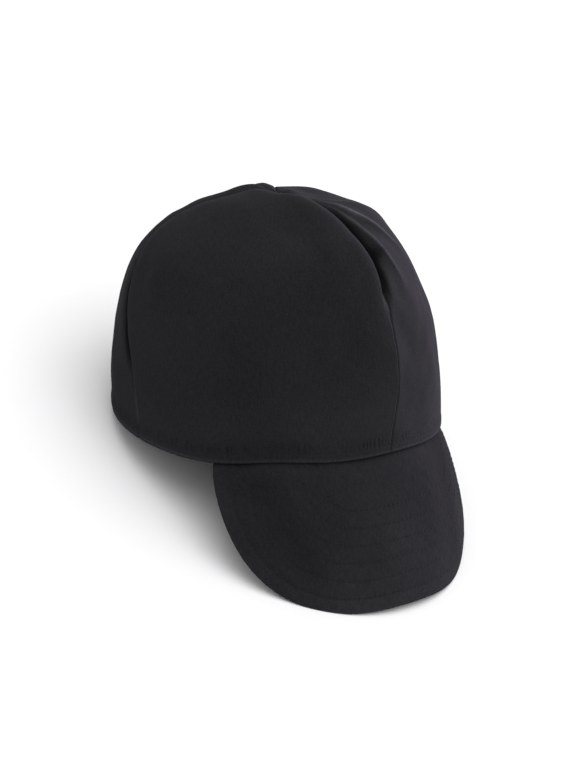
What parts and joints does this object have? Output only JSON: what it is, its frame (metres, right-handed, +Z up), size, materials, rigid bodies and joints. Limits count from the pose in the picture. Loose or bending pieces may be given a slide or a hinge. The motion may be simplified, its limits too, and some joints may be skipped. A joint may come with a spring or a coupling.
{
  "type": "welding cap",
  "caption": "Soft welding cap: a round crown of four sewn cloth panels, open below for the head, with a steep quilted bill. It stands on its bill and the back of its rim.",
  "frame": {"origin": "on the floor under the middle of the standing cap's bounding box", "axes": "+Z up, -Y to the front where the bill points, -X to the wearer's right"},
  "size_m": [0.1728, 0.2486, 0.1601],
  "materials": {
    "crown_cloth": "matte woven cotton, washed black",
    "bill_cloth": "matte woven cotton, quilted, washed black"
  },
  "bodies": {
    "root": {"panel_front_right": "crown_cloth", "panel_front_left": "crown_cloth", "panel_back_right": "crown_cloth", "panel_back_left": "crown_cloth", "bill": "bill_cloth"}
  },
  "joints": []
}
